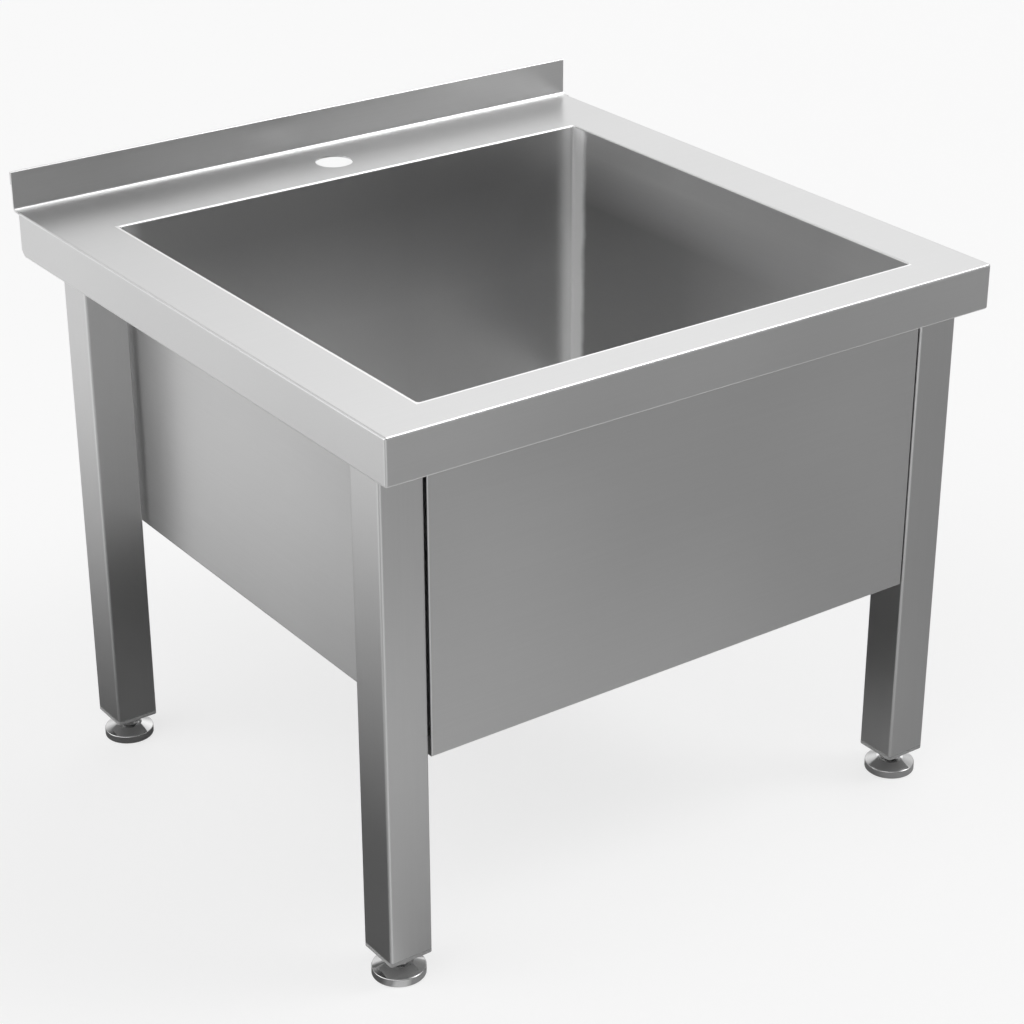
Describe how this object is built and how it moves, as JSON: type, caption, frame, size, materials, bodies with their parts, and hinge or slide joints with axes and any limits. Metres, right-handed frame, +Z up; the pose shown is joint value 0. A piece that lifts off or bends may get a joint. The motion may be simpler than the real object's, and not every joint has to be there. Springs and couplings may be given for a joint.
{
  "type": "utility laundry sink",
  "caption": "Low free-standing stainless utility sink: deep rectangular bowl, rear upstand with tap hole, front panel, square legs with screw feet, lift-out strainer.",
  "frame": {"origin": "on the floor, under the middle of the worktop's plan", "axes": "+Z up, -Y towards the front, +X to the right as seen from the front"},
  "size_m": [0.6, 0.6, 0.535],
  "materials": {
    "brushed_stainless": "satin brushed",
    "polished_stainless": "polished",
    "fixing_steel": "plain",
    "plug_plastic": "moulded grey",
    "gasket_rubber": "matt black",
    "washer_fibre": "moulded white"
  },
  "bodies": {
    "sink": {"worktop": "brushed_stainless", "bowl": "brushed_stainless", "front_panel": "brushed_stainless", "front_rail": "brushed_stainless", "rear_rail": "brushed_stainless", "side_rail_left": "brushed_stainless", "side_rail_right": "brushed_stainless", "panel_spacers": "fixing_steel", "panel_rivets": "fixing_steel", "insert_nuts": "fixing_steel", "weld_studs": "fixing_steel", "stud_washers": "fixing_steel", "stud_nuts": "fixing_steel", "upper_gasket": "gasket_rubber", "lower_gasket": "gasket_rubber", "tail_washer": "gasket_rubber", "slip_washer": "washer_fibre", "strainer_body": "polished_stainless", "strainer_nipple": "polished_stainless", "strainer_locknut": "washer_fibre", "tailpiece": "polished_stainless", "coupling_nut": "washer_fibre", "leg_front_left": "brushed_stainless", "leg_plug_front_left": "plug_plastic", "leg_front_right": "brushed_stainless", "leg_plug_front_right": "plug_plastic", "leg_rear_left": "brushed_stainless", "leg_plug_rear_left": "plug_plastic", "leg_rear_right": "brushed_stainless", "leg_plug_rear_right": "plug_plastic"},
    "basket": {"strainer_basket": "polished_stainless", "basket_stopper": "gasket_rubber", "basket_knob": "polished_stainless"},
    "stud_front_left": {"foot_stud_front_left": "polished_stainless"},
    "pad_front_left": {"foot_pad_front_left": "polished_stainless"},
    "stud_front_right": {"foot_stud_front_right": "polished_stainless"},
    "pad_front_right": {"foot_pad_front_right": "polished_stainless"},
    "stud_rear_left": {"foot_stud_rear_left": "polished_stainless"},
    "pad_rear_left": {"foot_pad_rear_left": "polished_stainless"},
    "stud_rear_right": {"foot_stud_rear_right": "polished_stainless"},
    "pad_rear_right": {"foot_pad_rear_right": "polished_stainless"}
  },
  "joints": [
    {"name": "height_front_left", "type": "slide", "parent": "sink", "child": "stud_front_left", "axis": [0, 0, 1], "range_m": [-0.025, 0.005]},
    {"name": "swivel_front_left", "type": "hinge", "parent": "stud_front_left", "child": "pad_front_left", "pos_m": [-0.27, -0.254, 0], "axis": [0, 0, 1], "continuous": true},
    {"name": "height_front_right", "type": "slide", "parent": "sink", "child": "stud_front_right", "axis": [0, 0, 1], "range_m": [-0.025, 0.005]},
    {"name": "swivel_front_right", "type": "hinge", "parent": "stud_front_right", "child": "pad_front_right", "pos_m": [0.27, -0.254, 0], "axis": [0, 0, 1], "continuous": true},
    {"name": "height_rear_left", "type": "slide", "parent": "sink", "child": "stud_rear_left", "axis": [0, 0, 1], "range_m": [-0.025, 0.005]},
    {"name": "swivel_rear_left", "type": "hinge", "parent": "stud_rear_left", "child": "pad_rear_left", "pos_m": [-0.27, 0.21, 0], "axis": [0, 0, 1], "continuous": true},
    {"name": "height_rear_right", "type": "slide", "parent": "sink", "child": "stud_rear_right", "axis": [0, 0, 1], "range_m": [-0.025, 0.005]},
    {"name": "swivel_rear_right", "type": "hinge", "parent": "stud_rear_right", "child": "pad_rear_right", "pos_m": [0.27, 0.21, 0], "axis": [0, 0, 1], "continuous": true},
    {"name": "basket_lift", "type": "slide", "parent": "sink", "child": "basket", "axis": [0, 0, 1], "range_m": [0, 0.09]}
  ]
}
